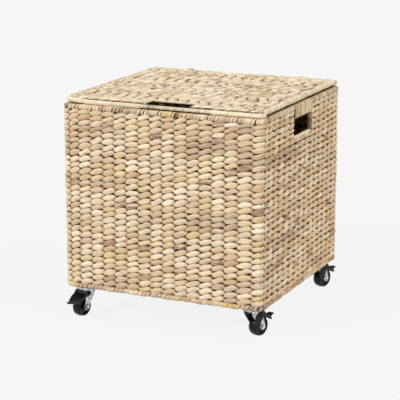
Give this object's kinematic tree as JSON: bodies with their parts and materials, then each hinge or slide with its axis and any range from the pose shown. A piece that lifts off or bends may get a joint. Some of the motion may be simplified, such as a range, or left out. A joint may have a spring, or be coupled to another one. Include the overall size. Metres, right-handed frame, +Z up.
{
  "type": "storage box on casters",
  "caption": "Square lidded storage box woven in plant fibre over a rod frame, on braked swivel casters, with side hand holes.",
  "frame": {"origin": "on the floor under the middle of the box, where the wheels stand", "axes": "+Z up, +X to the right of the front (the side with the lid's finger slot), -Y towards the front"},
  "size_m": [0.4012, 0.4349, 0.4221],
  "materials": {
    "hyacinth_weave": "matte woven water hyacinth strand, straw with ochre and mauve-brown strands",
    "hyacinth_binding": "matte wound water hyacinth strand",
    "handle_binding": "matte flat strand wound side by side",
    "lid_weave": "matte woven water hyacinth strand, pale",
    "lid_binding": "matte wound strand, pale",
    "cane_loop": "split cane, satin",
    "frame_steel": "black powder coat, satin",
    "plate_steel": "black powder coat, satin",
    "zinc_plate": "bright zinc plate",
    "bearing_steel": "greased hardened steel",
    "wheel_nylon": "black moulded nylon, glossy",
    "pedal_nylon": "black moulded nylon, satin gloss"
  },
  "bodies": {
    "basket": {"steel_frame": "frame_steel", "woven_front": "hyacinth_weave", "woven_back": "hyacinth_weave", "woven_left": "hyacinth_weave", "woven_right": "hyacinth_weave", "woven_floor": "hyacinth_weave", "rim_wrap_front": "hyacinth_binding", "rim_wrap_back": "hyacinth_binding", "base_wrap": "hyacinth_binding", "handle_wrap_left": "handle_binding", "handle_wrap_right": "handle_binding", "hinge_loop_left": "cane_loop", "hinge_loop_right": "cane_loop", "caster_plate_front_left": "plate_steel", "stem_bolt_front_left": "zinc_plate", "stem_nut_front_left": "zinc_plate", "swivel_head_front_left": "zinc_plate", "caster_plate_front_right": "plate_steel", "stem_bolt_front_right": "zinc_plate", "stem_nut_front_right": "zinc_plate", "swivel_head_front_right": "zinc_plate", "caster_plate_back_right": "plate_steel", "stem_bolt_back_right": "zinc_plate", "stem_nut_back_right": "zinc_plate", "swivel_head_back_right": "zinc_plate", "caster_plate_back_left": "plate_steel", "stem_bolt_back_left": "zinc_plate", "stem_nut_back_left": "zinc_plate", "swivel_head_back_left": "zinc_plate"},
    "lid": {"lid_frame": "frame_steel", "lid_panel": "lid_weave", "lid_border": "lid_binding", "slot_binding": "lid_binding"},
    "caster_front_left": {"ball_ring_front_left": "bearing_steel", "fork_front_left": "zinc_plate", "axle_front_left": "zinc_plate", "axle_nut_front_left": "zinc_plate"},
    "wheel_front_left": {"wheel_front_left": "wheel_nylon"},
    "pedal_front_left": {"brake_pedal_front_left": "pedal_nylon"},
    "caster_front_right": {"ball_ring_front_right": "bearing_steel", "fork_front_right": "zinc_plate", "axle_front_right": "zinc_plate", "axle_nut_front_right": "zinc_plate"},
    "wheel_front_right": {"wheel_front_right": "wheel_nylon"},
    "pedal_front_right": {"brake_pedal_front_right": "pedal_nylon"},
    "caster_back_right": {"ball_ring_back_right": "bearing_steel", "fork_back_right": "zinc_plate", "axle_back_right": "zinc_plate", "axle_nut_back_right": "zinc_plate"},
    "wheel_back_right": {"wheel_back_right": "wheel_nylon"},
    "pedal_back_right": {"brake_pedal_back_right": "pedal_nylon"},
    "caster_back_left": {"ball_ring_back_left": "bearing_steel", "fork_back_left": "zinc_plate", "axle_back_left": "zinc_plate", "axle_nut_back_left": "zinc_plate"},
    "wheel_back_left": {"wheel_back_left": "wheel_nylon"},
    "pedal_back_left": {"brake_pedal_back_left": "pedal_nylon"}
  },
  "joints": [
    {"name": "lid_hinge", "type": "hinge", "parent": "basket", "child": "lid", "pos_m": [0, 0.1915, 0.4138], "axis": [-1, 0, 0], "range_deg": [0, 180]},
    {"name": "swivel_front_left", "type": "hinge", "parent": "basket", "child": "caster_front_left", "pos_m": [-0.17, -0.167, 0.052], "axis": [0, 0, 1], "continuous": true},
    {"name": "roll_front_left", "type": "hinge", "parent": "caster_front_left", "child": "wheel_front_left", "pos_m": [-0.17278, -0.18276, 0.019], "axis": [0.9848, -0.1736, 0], "continuous": true},
    {"name": "brake_front_left", "type": "hinge", "parent": "caster_front_left", "child": "pedal_front_left", "pos_m": [-0.17156, -0.17586, 0.044], "axis": [0.9848, -0.1736, 0], "range_deg": [0, 8]},
    {"name": "swivel_front_right", "type": "hinge", "parent": "basket", "child": "caster_front_right", "pos_m": [0.17, -0.167, 0.052], "axis": [0, 0, 1], "continuous": true},
    {"name": "roll_front_right", "type": "hinge", "parent": "caster_front_right", "child": "wheel_front_right", "pos_m": [0.17494, -0.15178, 0.019], "axis": [-0.9511, 0.309, 0], "continuous": true},
    {"name": "brake_front_right", "type": "hinge", "parent": "caster_front_right", "child": "pedal_front_right", "pos_m": [0.17278, -0.15844, 0.044], "axis": [-0.9511, 0.309, 0], "range_deg": [0, 8]},
    {"name": "swivel_back_right", "type": "hinge", "parent": "basket", "child": "caster_back_right", "pos_m": [0.17, 0.167, 0.052], "axis": [0, 0, 1], "continuous": true},
    {"name": "roll_back_right", "type": "hinge", "parent": "caster_back_right", "child": "wheel_back_right", "pos_m": [0.17494, 0.18222, 0.019], "axis": [-0.9511, 0.309, 0], "continuous": true},
    {"name": "brake_back_right", "type": "hinge", "parent": "caster_back_right", "child": "pedal_back_right", "pos_m": [0.17278, 0.17556, 0.044], "axis": [-0.9511, 0.309, 0], "range_deg": [0, 8]},
    {"name": "swivel_back_left", "type": "hinge", "parent": "basket", "child": "caster_back_left", "pos_m": [-0.17, 0.167, 0.052], "axis": [0, 0, 1], "continuous": true},
    {"name": "roll_back_left", "type": "hinge", "parent": "caster_back_left", "child": "wheel_back_left", "pos_m": [-0.17278, 0.15124, 0.019], "axis": [0.9848, -0.1736, 0], "continuous": true},
    {"name": "brake_back_left", "type": "hinge", "parent": "caster_back_left", "child": "pedal_back_left", "pos_m": [-0.17156, 0.15814, 0.044], "axis": [0.9848, -0.1736, 0], "range_deg": [0, 8]}
  ]
}
